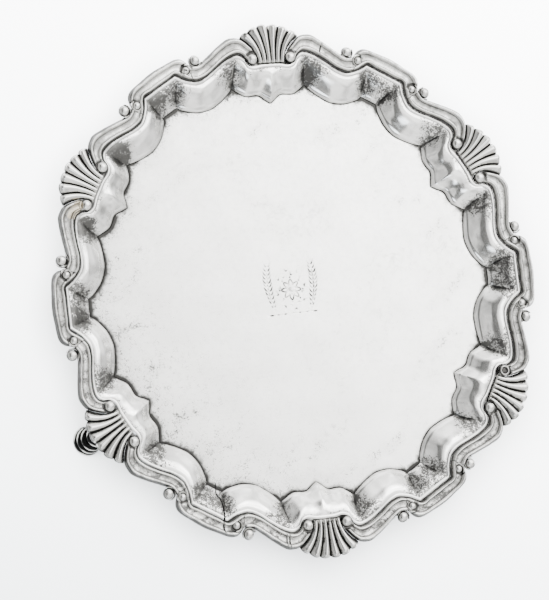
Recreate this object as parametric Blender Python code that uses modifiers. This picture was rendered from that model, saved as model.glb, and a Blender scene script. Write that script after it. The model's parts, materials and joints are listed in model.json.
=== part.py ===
"""Silver salver: a raised plate with a border of cast shells, scrolls and arches, on three cast feet.

The salver stands on z = 0 with its centre on the Z axis, and the shell at twelve o'clock points along +Y.
Every border piece is drawn in the sector of that shell, with x across and y outward, then turned to
its own hour.
"""

import math

import bmesh
import bpy
from mathutils import Matrix, Vector

MM = 0.001

# Heights above the table
RIM_TOP = 30.0 * MM
BORDER_BED = 27.4 * MM
FLANGE_TOP = 27.1 * MM
WELL_TOP = 20.2 * MM
SHEET = 1.0 * MM
JOINT_GAP = 0.3 * MM

# Six equal sectors, each with a shell on its axis and an arch halfway to the next one
SECTORS = 6
SECTOR_ANGLE = math.tau / SECTORS
HALF_SECTOR = SECTOR_ANGLE / 2
SHELL_HOURS = (12, 10, 8, 6, 4, 2)
ARCH_HOURS = (1, 11, 9, 7, 5, 3)
FOOT_HOURS = (12, 8, 4)

# Outlines below are in millimetres: x across the sector, y outward
# Edge of the flat well over half a sector: bracket under the shell, round lobe, half of the straight side
WELL_BRACKET = ((0.0, 89.5), (2.2, 91.0), (4.4, 92.9), (6.6, 93.7), (10.0, 93.4), (13.3, 93.9),
                (18.6, 97.3))
WELL_LOBE = ((18.6, 97.3), (22.1, 93.8), (26.5, 90.5), (31.0, 88.1), (37.5, 87.2), (44.2, 88.4),
             (47.2, 90.0))
WELL_SIDE = ((47.2, 90.0), (50.75, 87.95))

# Line where the border meets the flange: a wave past the bracket and the lobe, then half of the
# straight side
FLANGE_WAVE = ((0.0, 108.0), (4.4, 107.9), (8.8, 107.2), (12.0, 108.4), (13.9, 111.4), (17.1, 112.8),
               (22.1, 111.1), (27.6, 107.6), (33.2, 103.5), (38.2, 101.5), (44.2, 102.4), (49.2, 104.6))
FLANGE_CREST = 5
FLANGE_SIDE = ((49.2, 104.6), (57.6, 99.8))

SPLINE_STEPS = 20
BRACKET_STEPS = 6
LOBE_STEPS = 8
SIDE_STEPS = 1
FLANGE_WIDTH = 2.2 * MM
FLANGE_UNDER_BORDER = 5.0 * MM
# Share of the way from well to flange, and share of the rise reached there
BOUGE_PROFILE = ((0.0, 0.0), (0.22, 0.34), (0.62, 0.74), (1.0, 1.0))

# Inner and outer edges of the scroll beside a shell: its curl round the boss, then its run down to the arch
SCROLL_INNER = ((12.3, 109.3), (13.9, 111.7), (17.1, 112.8), (22.1, 111.1), (27.6, 107.6), (33.2, 103.5),
                (38.2, 101.5), (41.1, 101.7))
SCROLL_INNER_CREST = 2
SCROLL_OUTER_RUN = ((18.8, 120.5), (22.1, 119.8), (27.6, 116.1), (33.2, 111.7), (37.0, 109.0), (41.1, 108.6))
SHELL_SIDE_SHARES = (0.27, 0.5, 0.75, 1.0)
CURL_STEPS = 4
RUN_STEPS = 8

# Inner and outer edges of half an arch, from the scroll to the arch's middle
ARCH_INNER = ((41.5, 101.7), (44.2, 102.4), (49.2, 104.6), (53.4, 102.2), (57.6, 99.8))
ARCH_OUTER = ((41.5, 107.8), (44.6, 111.1), (48.5, 111.8), (55.3, 109.0), (61.3, 106.1))
ARCH_STEPS = 5

# Section of the moulding: share of its width from the inner edge, and height above its bed
MOULDING_SECTION = ((0.0, 1.0), (0.12, 1.5), (0.27, 2.1), (0.4, 1.2), (0.6, 1.3), (0.8, 2.5), (1.0, 1.2))

# Bosses and beads as radius, height above the bed, x and y
BEAD_SEGMENTS = 10
BEAD_RINGS = 3
BEAD_CROWN = math.radians(79)
BEAD_LIFT = 0.2 * MM
SHELL_BOSS = (2.5, 2.6, 9.8, 110.2)
OUTER_BEAD = (2.7, 2.4, 38.7, 111.0)
INNER_BEAD = (2.1, 2.3, 43.8, 106.5)
OPEN_BOSS_HOUR = 4
OPEN_BOSS_BORE = 1.1 * MM
OPEN_BOSS_DEPTH = 1.6 * MM

# Shell: six ribs between seven grooves that fan out from the base
RIBS_EACH_SIDE = 3
SHELL_BASE_Y = 108.4
GROOVE_BASE_X = (0.0, 2.25, 4.5, 6.7)
GROOVE_TIP_X = (0.0, 5.5, 10.6, 14.9)
GROOVE_TIP_Y = (125.3, 124.9, 122.6, 119.9)
FLARE_POWER = 2.0
RIB_TIP_REACH = 1.6
RIB_FULLNESS = 0.7
RIB_STEPS = 4
SHELL_STEPS = 5
GROOVE_HEIGHT = (1.0, 1.1)
RIB_HEIGHT = (1.9, 2.6)
SHELL_TIP_DROP = 1.1
SHELL_TIP_SHARPNESS = 12

# Foot: sections from the pad up, as height, distance from the salver's axis, half depth and half width
FOOT_SEGMENTS = 14
FOOT_SECTIONS = (
    (0.0, 119.3, 5.6, 5.8),
    (1.0, 119.3, 7.0, 7.2),
    (2.2, 119.2, 6.9, 7.1),
    (2.7, 119.0, 5.9, 6.1),
    (3.3, 118.8, 6.5, 6.7),
    (4.3, 118.6, 6.3, 6.5),
    (4.8, 118.3, 5.2, 5.4),
    (5.4, 118.0, 5.8, 6.0),
    (6.4, 117.6, 5.5, 5.7),
    (7.0, 117.1, 4.3, 4.5),
    (7.7, 116.5, 4.7, 4.9),
    (8.7, 115.7, 4.3, 4.5),
    (9.6, 114.6, 3.2, 3.4),
    (12.5, 111.6, 3.0, 3.3),
    (16.0, 108.2, 4.2, 4.8),
    (20.0, 105.4, 5.8, 7.0),
    (26.0, 103.7, 7.2, 8.8),
)
FOOT_CLEARANCE = 1.8 * MM


def clear_scene():
    for item in list(bpy.data.objects):
        bpy.data.objects.remove(item, do_unlink=True)


def make_collection(name):
    collection = bpy.data.collections.new(name)
    bpy.context.scene.collection.children.link(collection)
    return collection


def make_material(name, colour, roughness):
    material = bpy.data.materials.new(name)
    material.use_nodes = True
    shader = material.node_tree.nodes["Principled BSDF"]
    shader.inputs["Base Color"].default_value = (*colour, 1.0)
    shader.inputs["Metallic"].default_value = 1.0
    shader.inputs["Roughness"].default_value = roughness
    return material


def even_steps(line, steps):
    """The line as steps + 1 evenly spaced points."""
    along = [0.0]
    for start, end in zip(line, line[1:]):
        along.append(along[-1] + (end - start).length)
    even = []
    piece = 0
    for i in range(steps + 1):
        target = along[-1] * i / steps
        while piece < len(line) - 2 and along[piece + 1] < target:
            piece += 1
        share = (target - along[piece]) / (along[piece + 1] - along[piece])
        even.append(line[piece].lerp(line[piece + 1], min(share, 1.0)))
    return even


def spline(points, steps, crest=None, crest_steps=0):
    """A smooth line through points in millimetres, as evenly spaced vectors in metres.

    With a crest, the line has crest_steps up to that point and steps after it.
    """
    knots = [Vector((x * MM, y * MM, 0.0)) for x, y in points]
    knots = [2 * knots[0] - knots[1]] + knots + [2 * knots[-1] - knots[-2]]
    fine = []
    for before, start, end, after in zip(knots, knots[1:], knots[2:], knots[3:]):
        for i in range(SPLINE_STEPS):
            t = i / SPLINE_STEPS
            bend = (2 * before - 5 * start + 4 * end - after) * t ** 2
            twist = (3 * start - before - 3 * end + after) * t ** 3
            fine.append(0.5 * (2 * start + (end - before) * t + bend + twist))
    fine.append(knots[-2])
    if crest is None:
        return even_steps(fine, steps)
    split = crest * SPLINE_STEPS
    return joined(even_steps(fine[:split + 1], crest_steps), even_steps(fine[split:], steps))


def joined(*stretches):
    """One line from stretches that share their end points."""
    line = list(stretches[0])
    for stretch in stretches[1:]:
        line += stretch[1:]
    return line


def mirrored(point, angle):
    """A point of the sector reflected in the ray that lies clockwise of the shell's axis by an angle."""
    ray = Vector((math.sin(angle), math.cos(angle), 0.0))
    flat = Vector((point.x, point.y, 0.0))
    image = 2 * flat.dot(ray) * ray - flat
    return Vector((image.x, image.y, point.z))


def all_round(half_line):
    """The closed line made by reflecting half a sector and turning it to all six."""
    sector = half_line + [mirrored(p, HALF_SECTOR) for p in reversed(half_line[:-1])][:-1]
    turns = [Matrix.Rotation(-SECTOR_ANGLE * k, 3, "Z") for k in range(SECTORS)]
    return [turn @ point for turn in turns for point in sector]


def add_object(name, mesh_builder, collection, material, hour=12):
    """An object from a bmesh, drawn at twelve o'clock and turned to its hour."""
    mesh = bpy.data.meshes.new(name)
    bmesh.ops.recalc_face_normals(mesh_builder, faces=mesh_builder.faces)
    mesh_builder.to_mesh(mesh)
    mesh_builder.free()
    made = bpy.data.objects.new(name, mesh)
    made.rotation_euler.z = -math.tau * hour / 12
    made.data.materials.append(material)
    collection.objects.link(made)
    return made


def loft(sections, capped=True):
    """A skin over closed sections with equal numbers of points."""
    skin = bmesh.new()
    rows = [[skin.verts.new(point) for point in section] for section in sections]
    count = len(rows[0])
    for low, high in zip(rows, rows[1:]):
        for i in range(count):
            j = (i + 1) % count
            skin.faces.new((low[i], low[j], high[j], high[i]))
    if capped:
        skin.faces.new(rows[0])
        skin.faces.new(rows[-1])
    return skin


def add_boolean(target, cutter, operation):
    modifier = target.modifiers.new(operation.lower(), "BOOLEAN")
    modifier.operation = operation
    modifier.object = cutter
    modifier.solver = "EXACT"


def hide_cutter(cutter):
    cutter.hide_render = True
    cutter.display_type = "WIRE"


def plate_rings():
    """Rings of the plate's upper face from the well edge out to its rim, which the border hides."""
    well = all_round(joined(spline(WELL_BRACKET, BRACKET_STEPS), spline(WELL_LOBE, LOBE_STEPS),
                            spline(WELL_SIDE, SIDE_STEPS)))
    border = all_round(joined(spline(FLANGE_WAVE, LOBE_STEPS, FLANGE_CREST, BRACKET_STEPS),
                              spline(FLANGE_SIDE, SIDE_STEPS)))
    outward = [(outer - inner).normalized() for inner, outer in zip(well, border)]
    flange = [point - FLANGE_WIDTH * way for point, way in zip(border, outward)]
    rim = [point + FLANGE_UNDER_BORDER * way for point, way in zip(border, outward)]
    rings = []
    for share, rise in BOUGE_PROFILE:
        height = Vector((0.0, 0.0, WELL_TOP + rise * (FLANGE_TOP - WELL_TOP)))
        rings.append([inner.lerp(outer, share) + height for inner, outer in zip(well, flange)])
    rings.append([point + Vector((0.0, 0.0, FLANGE_TOP)) for point in rim])
    return rings


def make_plate(collection, material):
    skin = loft(plate_rings(), capped=False)
    skin.verts.ensure_lookup_table()
    ring_size = len(skin.verts) // (len(BOUGE_PROFILE) + 1)
    skin.faces.new(skin.verts[:ring_size])
    plate = add_object("plate", skin, collection, material)
    if plate.data.polygons[-1].normal.z < 0:
        plate.data.flip_normals()
    thick = plate.modifiers.new("sheet", "SOLIDIFY")
    thick.thickness = SHEET
    thick.offset = -1.0
    thick.use_even_offset = True
    return plate


def make_foot_cutter(collection, material):
    """The space over the plate's underside, with room for the solder joint."""
    drop = Vector((0.0, 0.0, -FOOT_CLEARANCE))
    rings = [[point + drop for point in ring] for ring in plate_rings()]
    lid = [Vector((p.x, p.y, RIM_TOP + 2 * FOOT_CLEARANCE)) for p in rings[-1]]
    cutter = add_object("foot_cutter", loft(rings + [lid]), collection, material)
    hide_cutter(cutter)
    return cutter


def moulding(inner, outer):
    """A moulding between two lines with equal numbers of points."""
    sections = []
    for start, end in zip(inner, outer):
        section = [start + Vector((0.0, 0.0, BORDER_BED))]
        for share, height in MOULDING_SECTION:
            section.append(start.lerp(end, share) + Vector((0.0, 0.0, BORDER_BED + height * MM)))
        section.append(end + Vector((0.0, 0.0, BORDER_BED)))
        sections.append(section)
    return loft(sections)


def make_bead(name, bead, side, hour, collection, material):
    """A dome to be joined to a moulding; side is 1 for clockwise of the shell and -1 for the other side."""
    radius, height, x, y = (value * MM for value in bead)
    sections = []
    for i in range(BEAD_RINGS + 1):
        lift = BEAD_CROWN * i / BEAD_RINGS
        level = BORDER_BED + BEAD_LIFT + (height - BEAD_LIFT) * math.sin(lift)
        sections.append([
            Vector((side * x + radius * math.cos(lift) * math.cos(math.tau * k / BEAD_SEGMENTS),
                    y + radius * math.cos(lift) * math.sin(math.tau * k / BEAD_SEGMENTS), level))
            for k in range(BEAD_SEGMENTS)])
    dome = add_object(name, loft(sections), collection, material, hour)
    hide_cutter(dome)
    return dome


def shell_side(share, clearance):
    """A point in millimetres on the shell's flaring side, moved off it by a clearance."""
    flare = GROOVE_TIP_X[-1] - GROOVE_BASE_X[-1]
    rise = GROOVE_TIP_Y[-1] - SHELL_BASE_Y
    x = GROOVE_BASE_X[-1] + flare * share ** FLARE_POWER
    y = SHELL_BASE_Y + rise * share
    way = Vector((FLARE_POWER * flare * share ** (FLARE_POWER - 1), rise)).normalized()
    return x + clearance * way.y, y - clearance * way.x


def make_scroll(hour, side, collection, cutters, material):
    """The S-shaped moulding beside a shell, with the boss it starts from and the bead it ends in."""
    name = f"scroll_{hour}_{'right' if side > 0 else 'left'}"
    flip = Matrix.Diagonal((side, 1.0, 1.0))
    curl = [shell_side(share, JOINT_GAP / MM) for share in SHELL_SIDE_SHARES]
    inner = spline(SCROLL_INNER, RUN_STEPS, SCROLL_INNER_CREST, CURL_STEPS)
    outer = spline((*curl, *SCROLL_OUTER_RUN), RUN_STEPS, len(curl), CURL_STEPS)
    strip = moulding([flip @ point for point in inner], [flip @ point for point in outer])
    scroll = add_object(name, strip, collection, material, hour)
    boss = make_bead(f"{name}_boss", SHELL_BOSS, side, hour, cutters, material)
    add_boolean(scroll, boss, "UNION")
    add_boolean(scroll, make_bead(f"{name}_bead", OUTER_BEAD, side, hour, cutters, material), "UNION")
    if hour == OPEN_BOSS_HOUR and side < 0:
        add_boolean(scroll, make_boss_drill(name, side, hour, cutters, material), "DIFFERENCE")
    return scroll


def make_boss_drill(name, side, hour, collection, material):
    """The drill for the one boss that has lost its top and shows its blowhole."""
    drill = bmesh.new()
    bmesh.ops.create_cone(drill, cap_ends=True, segments=BEAD_SEGMENTS, radius1=OPEN_BOSS_BORE,
                          radius2=OPEN_BOSS_BORE, depth=2 * OPEN_BOSS_DEPTH)
    boss_top = BORDER_BED + SHELL_BOSS[1] * MM
    place = Vector((side * SHELL_BOSS[2] * MM, SHELL_BOSS[3] * MM, boss_top))
    bmesh.ops.translate(drill, verts=drill.verts, vec=place)
    cutter = add_object(f"{name}_drill", drill, collection, material, hour)
    hide_cutter(cutter)
    return cutter


def make_arch(hour, collection, cutters, material):
    """The moulding between two scrolls, with a bead in the curl at each end."""
    inner = spline(ARCH_INNER, ARCH_STEPS)
    outer = spline(ARCH_OUTER, ARCH_STEPS)
    inner += [mirrored(point, HALF_SECTOR) for point in reversed(inner[:-1])]
    outer += [mirrored(point, HALF_SECTOR) for point in reversed(outer[:-1])]
    arch = add_object(f"arch_{hour}", moulding(inner, outer), collection, material, hour - 1)
    start = make_bead(f"arch_{hour}_start", INNER_BEAD, 1, hour - 1, cutters, material)
    end = make_bead(f"arch_{hour}_end", INNER_BEAD, -1, hour + 1, cutters, material)
    add_boolean(arch, start, "UNION")
    add_boolean(arch, end, "UNION")
    return arch


def shell_section(v):
    """One closed section across the shell at a share v of its length."""
    top = []
    for step in range(-RIBS_EACH_SIDE * RIB_STEPS, RIBS_EACH_SIDE * RIB_STEPS + 1):
        rib, part = divmod(abs(step), RIB_STEPS)
        across = part / RIB_STEPS
        after = min(rib + 1, RIBS_EACH_SIDE)
        base_x = GROOVE_BASE_X[rib] + across * (GROOVE_BASE_X[after] - GROOVE_BASE_X[rib])
        tip_x = GROOVE_TIP_X[rib] + across * (GROOVE_TIP_X[after] - GROOVE_TIP_X[rib])
        tip_y = GROOVE_TIP_Y[rib] + across * (GROOVE_TIP_Y[after] - GROOVE_TIP_Y[rib])
        roundness = math.sin(math.pi * across) ** RIB_FULLNESS
        tip_y += RIB_TIP_REACH * roundness
        x = base_x + (tip_x - base_x) * v ** FLARE_POWER
        y = SHELL_BASE_Y + (tip_y - SHELL_BASE_Y) * v
        groove = GROOVE_HEIGHT[0] + (GROOVE_HEIGHT[1] - GROOVE_HEIGHT[0]) * v
        crest = RIB_HEIGHT[0] + (RIB_HEIGHT[1] - RIB_HEIGHT[0]) * v
        height = groove + (crest - groove) * roundness - SHELL_TIP_DROP * v ** SHELL_TIP_SHARPNESS
        top.append(Vector((math.copysign(x, step) * MM, y * MM, BORDER_BED + height * MM)))
    bottom = [Vector((p.x, p.y, BORDER_BED)) for p in reversed(top[::RIB_STEPS])]
    return top + bottom


def make_shell(hour, collection, material):
    sections = [shell_section(step / SHELL_STEPS) for step in range(SHELL_STEPS + 1)]
    return add_object(f"shell_{hour}", loft(sections), collection, material, hour)


def make_foot(hour, collection, cutter, material):
    """A cabriole foot with a ringed pad, let into the plate's underside below a shell."""
    sections = []
    for height, reach, half_depth, half_width in FOOT_SECTIONS:
        sections.append([
            Vector((half_width * MM * math.cos(math.tau * k / FOOT_SEGMENTS),
                    (reach + half_depth * math.sin(math.tau * k / FOOT_SEGMENTS)) * MM, height * MM))
            for k in range(FOOT_SEGMENTS)])
    foot = add_object(f"foot_{hour}", loft(sections), collection, material, hour)
    add_boolean(foot, cutter, "DIFFERENCE")
    return foot


def build():
    clear_scene()
    salver = make_collection("silver_salver")
    cutters = make_collection("cutters")
    worn_silver = make_material("worn_silver", (0.83, 0.82, 0.79), 0.28)
    cast_silver = make_material("cast_silver", (0.72, 0.71, 0.68), 0.34)
    dark_silver = make_material("tarnished_silver", (0.30, 0.29, 0.27), 0.45)

    make_plate(salver, worn_silver)
    foot_cutter = make_foot_cutter(cutters, dark_silver)
    for hour in SHELL_HOURS:
        make_shell(hour, salver, cast_silver)
        make_scroll(hour, -1, salver, cutters, cast_silver)
        make_scroll(hour, 1, salver, cutters, cast_silver)
    for hour in ARCH_HOURS:
        make_arch(hour, salver, cutters, cast_silver)
    for hour in FOOT_HOURS:
        make_foot(hour, salver, foot_cutter, dark_silver)


build()
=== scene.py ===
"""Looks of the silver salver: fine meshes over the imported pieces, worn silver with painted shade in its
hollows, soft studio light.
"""
import json
import math

import bmesh
import bpy
import numpy as np
from mathutils import Matrix, Vector
from mathutils.bvhtree import BVHTree
from mathutils.geometry import delaunay_2d_cdt


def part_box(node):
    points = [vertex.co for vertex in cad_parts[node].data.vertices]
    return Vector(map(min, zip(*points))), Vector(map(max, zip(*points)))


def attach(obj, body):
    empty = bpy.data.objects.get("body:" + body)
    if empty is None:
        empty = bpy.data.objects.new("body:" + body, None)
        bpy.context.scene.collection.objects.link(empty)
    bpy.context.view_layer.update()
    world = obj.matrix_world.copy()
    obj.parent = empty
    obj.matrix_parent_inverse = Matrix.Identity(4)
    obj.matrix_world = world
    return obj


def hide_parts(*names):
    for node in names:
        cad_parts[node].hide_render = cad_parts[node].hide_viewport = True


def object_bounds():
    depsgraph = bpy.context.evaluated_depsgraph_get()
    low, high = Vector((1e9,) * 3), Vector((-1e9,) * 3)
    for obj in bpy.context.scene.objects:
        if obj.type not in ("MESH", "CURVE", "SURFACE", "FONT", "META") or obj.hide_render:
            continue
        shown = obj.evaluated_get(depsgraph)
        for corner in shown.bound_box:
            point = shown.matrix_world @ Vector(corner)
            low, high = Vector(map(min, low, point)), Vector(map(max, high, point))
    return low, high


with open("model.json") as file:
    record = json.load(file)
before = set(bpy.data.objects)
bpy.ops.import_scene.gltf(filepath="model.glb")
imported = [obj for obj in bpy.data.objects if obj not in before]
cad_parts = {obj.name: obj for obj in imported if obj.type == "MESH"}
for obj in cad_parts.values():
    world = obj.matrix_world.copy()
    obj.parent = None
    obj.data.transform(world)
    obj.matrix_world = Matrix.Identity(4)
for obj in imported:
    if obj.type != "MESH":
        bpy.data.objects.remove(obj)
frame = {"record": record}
CAD_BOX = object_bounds()

MM = 0.001
MOUNTS = {mount["name"]: mount for mount in frame["record"]["mounts"]}

# Heights in millimetres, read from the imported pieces
WELL = MOUNTS["well"]["pos_m"][2] / MM
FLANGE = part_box("plate")[1][2] / MM
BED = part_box("arch_1")[0][2] / MM
RIM = CAD_BOX[1][2] / MM
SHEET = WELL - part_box("plate")[0][2] / MM
FOOT_REACH = MOUNTS["foot_pad_12"]["pos_m"][1] / MM

SHELL_HOURS = (12, 2, 4, 6, 8, 10)
ARCH_HOURS = (1, 3, 5, 7, 9, 11)
FOOT_HOURS = (12, 4, 8)
HALF_SECTOR = math.tau / 12

# Outlines of the sector whose shell points along +Y, in millimetres: x across, y outward
WELL_BRACKET = ((0.0, 89.5), (2.2, 91.0), (4.4, 92.9), (6.6, 93.7), (10.0, 93.4), (13.3, 93.9), (18.6, 97.3))
WELL_LOBE = ((18.6, 97.3), (22.1, 93.8), (26.5, 90.5), (31.0, 88.1), (37.5, 87.2), (44.2, 88.4),
             (47.2, 90.0))
WELL_SIDE = ((47.2, 90.0), (50.75, 87.95))
FLANGE_WAVE = ((0.0, 108.0), (4.4, 107.9), (8.8, 107.2), (12.0, 108.4), (13.9, 111.4), (17.1, 112.8),
               (22.1, 111.1), (27.6, 107.6), (33.2, 103.5), (38.2, 101.5), (44.2, 102.4), (49.2, 104.6))
FLANGE_CREST = 5
FLANGE_SIDE = ((49.2, 104.6), (57.6, 99.8))
FLANGE_WIDTH = 2.2
UNDER_BORDER = 5.0
UNDER_DROP = 0.3
FLAT_REACH = 84.0

SCROLL_INNER = ((12.3, 109.3), (13.9, 111.7), (17.1, 112.8), (22.1, 111.1), (27.6, 107.6), (33.2, 103.5),
                (38.2, 101.5), (41.1, 101.7))
SCROLL_INNER_CREST = 2
SCROLL_OUTER_RUN = ((18.8, 120.5), (22.1, 119.8), (27.6, 116.1), (33.2, 111.7), (37.0, 109.0), (41.1, 108.6))
SHELL_SIDE_SHARES = (0.27, 0.5, 0.75, 1.0)
ARCH_INNER = ((41.5, 101.7), (44.2, 102.4), (49.2, 104.6), (53.4, 102.2), (57.6, 99.8))
ARCH_OUTER = ((41.5, 107.8), (44.6, 111.1), (48.5, 111.8), (55.3, 109.0), (61.3, 106.1))

# Bosses and beads: radius, height and place
SHELL_BOSS = (2.5, 2.55, 9.8, 110.2)
OUTER_BEAD = (2.55, 2.5, 38.8, 110.9)
INNER_BEAD = (1.95, 2.5, 43.9, 106.4)
# Beads that stand off their usual place, by the hour of their arch or scroll
BENT_INNER_BEAD = {7: (2.05, 2.5, 45.4, 106.8)}
BENT_OUTER_BEAD = {6: (2.55, 2.5, 39.7, 111.5)}

# Repairs and breaks: cuts across a moulding by hour and side, from one point to another, with their depth
SEAMS = {
    (12, 1): (((24.0, 109.0), (27.0, 118.5), 0.35),),
    (6, 1): (((19.6, 111.0), (20.2, 122.0), 0.4), ((21.0, 111.0), (21.7, 122.0), 0.3)),
    7: (((51.4, 103.0), (51.7, 107.0), 0.9), ((51.7, 107.0), (51.2, 113.0), 0.9)),
}
CRACK = ((50.4, 104.0), (49.9, 99.8), (49.4, 96.6), (49.6, 93.7), (51.2, 91.1), (50.4, 88.2), (50.0, 85.8))

# The grooves of a shell, from its middle outward, at its base and at its tip
SHELL_BASE_Y = 108.1
GROOVE_BASE_X = (0.0, 2.25, 4.5, 6.7)
GROOVE_TIP_X = (0.0, 5.5, 10.6, 14.9)
GROOVE_TIP_Y = (125.3, 124.9, 122.6, 119.9)
RIB_TIP_REACH = 1.59
FLARE_POWER = 2.0


# ---- lines

SPLINE_STEPS = 24


def spline(points, steps_each=SPLINE_STEPS):
    """A smooth line through points."""
    knots = np.array(points, float)
    knots = np.vstack([2 * knots[0] - knots[1], knots, 2 * knots[-1] - knots[-2]])
    t = np.linspace(0, 1, steps_each, endpoint=False)[:, None]
    line = []
    for before, start, end, after in zip(knots, knots[1:], knots[2:], knots[3:]):
        bend = (2 * before - 5 * start + 4 * end - after) * t ** 2
        twist = (3 * start - before - 3 * end + after) * t ** 3
        line.append(0.5 * (2 * start + (end - before) * t + bend + twist))
    return np.vstack([*line, knots[-2:-1]])


def even(line, steps):
    """The line as steps + 1 evenly spaced points."""
    along = np.r_[0, np.cumsum(np.linalg.norm(np.diff(line, axis=0), axis=1))]
    at = np.linspace(0, along[-1], steps + 1)
    return np.stack([np.interp(at, along, line[:, k]) for k in range(2)], axis=1)


def sideways(line):
    """The direction across a line at each of its points."""
    way = np.gradient(line, axis=0)
    way /= np.linalg.norm(way, axis=1)[:, None]
    return np.stack([-way[:, 1], way[:, 0]], axis=1)


def crested(points, crest, before, after):
    """A smooth line with its points shared out before and after one knot."""
    line = spline(points)
    split = crest * SPLINE_STEPS
    return np.vstack([even(line[:split + 1], before)[:-1], even(line[split:], after)])


def reflect(points, angle):
    """Points reflected in the ray that lies clockwise of the shell's axis by an angle."""
    ray = np.array([math.sin(angle), math.cos(angle)])
    return 2 * (points @ ray)[:, None] * ray - points


def turned(points, hour):
    """Points of the twelve o'clock sector turned to an hour."""
    angle = -math.tau * hour / 12
    c, s = math.cos(angle), math.sin(angle)
    out = np.array(points, float)
    out[:, 0], out[:, 1] = c * points[:, 0] - s * points[:, 1], s * points[:, 0] + c * points[:, 1]
    return out


def folded(points):
    """Points as they lie in the half sector clockwise of their own shell."""
    around = np.arctan2(points[:, 0], points[:, 1])
    local = around - np.round(around / (2 * HALF_SECTOR)) * 2 * HALF_SECTOR
    reach = np.hypot(points[:, 0], points[:, 1])
    return np.abs(reach * np.sin(local)), reach * np.cos(local)


def half_sector(points):
    """The half sector of each point, counted clockwise; 0 ends and 1 starts at twelve o'clock."""
    return np.ceil(np.arctan2(points[:, 0], points[:, 1]) / HALF_SECTOR).astype(int) % 12


def distance_to(x, y, start, end):
    """Distance from points to a segment."""
    a, b = np.array(start), np.array(end)
    way = b - a
    share = unit(((x - a[0]) * way[0] + (y - a[1]) * way[1]) / (way @ way))
    return np.hypot(x - a[0] - share * way[0], y - a[1] - share * way[1])


def unit(value):
    """The value held between nought and one."""
    return np.clip(value, 0, 1)


def bell(gap, reach):
    """One at no distance, falling off softly over a reach."""
    return np.exp(-(gap / reach) ** 2)


def spot(x, y, start, end, reach):
    """A soft patch along a segment."""
    return bell(distance_to(x, y, start, end), reach)


def ripple(plan, scale, seed):
    """A smooth repeatable unevenness between about -1 and 1."""
    rng = np.random.default_rng(seed)
    total = np.zeros(plan.shape[:-1])
    for octave in range(6):
        turn = rng.uniform(0, math.tau)
        size = scale / (1 + 0.45 * octave)
        phase = rng.uniform(0, math.tau)
        along = plan[..., 0] * math.cos(turn) + plan[..., 1] * math.sin(turn)
        total += np.sin(along * math.tau / size + phase) / (1 + 0.4 * octave)
    return total / 3.0


# ---- meshes

def make_piece(name, points, faces, material, sharp=40.0):
    """A mesh object from points in millimetres."""
    mesh = bpy.data.meshes.new(name)
    mesh.from_pydata((np.asarray(points) * MM).tolist(), [], faces)
    mesh.polygons.foreach_set("use_smooth", [True] * len(mesh.polygons))
    mesh.update()
    made = bpy.data.objects.new(name, mesh)
    bpy.context.scene.collection.objects.link(made)
    builder = bmesh.new()
    builder.from_mesh(mesh)
    bmesh.ops.recalc_face_normals(builder, faces=builder.faces)
    builder.to_mesh(mesh)
    builder.free()
    mesh.set_sharp_from_angle(angle=math.radians(sharp))
    mesh.materials.append(material)
    return made


def grid_faces(rows, columns):
    """Quads over rings of points stored one after the other."""
    faces = []
    for start in range(0, (rows - 1) * columns, columns):
        for j in range(columns):
            after = (j + 1) % columns
            faces.append((start + j, start + after, start + columns + after, start + columns + j))
    return faces


def tube_faces(rows, columns):
    """Quads round a tube of closed rings, and a cap on each end."""
    caps = [tuple(range(columns)), tuple(reversed(range((rows - 1) * columns, rows * columns)))]
    return grid_faces(rows, columns) + caps


class Heap:
    """Points and faces of one piece while it is put together."""

    def __init__(self):
        self.points, self.faces, self.dirt_and_shade = [], [], []
        self.count = 0

    def add(self, points, faces, dirt_and_shade=0.0):
        self.faces += [tuple(v + self.count for v in face) for face in faces]
        self.points.append(np.asarray(points, float))
        self.dirt_and_shade.append(np.broadcast_to(dirt_and_shade, len(points)))
        self.count += len(points)
        return self

    def make(self, node, material, hour=12, side=1):
        """The finished piece that shows one node, turned to its hour and mirrored for side -1."""
        name = f"fine_{node}"
        points = np.vstack(self.points) * np.array([side, 1.0, 1.0])
        made = make_piece(name, turned(points, hour), self.faces, material)
        EXTRA[name] = {"hollow": np.concatenate(self.dirt_and_shade)}
        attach(made, "root")
        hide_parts(node)
        return made


# Wear and painted shade that a piece's own shape decides, by piece name and kind
EXTRA = {}


# ---- materials

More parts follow.
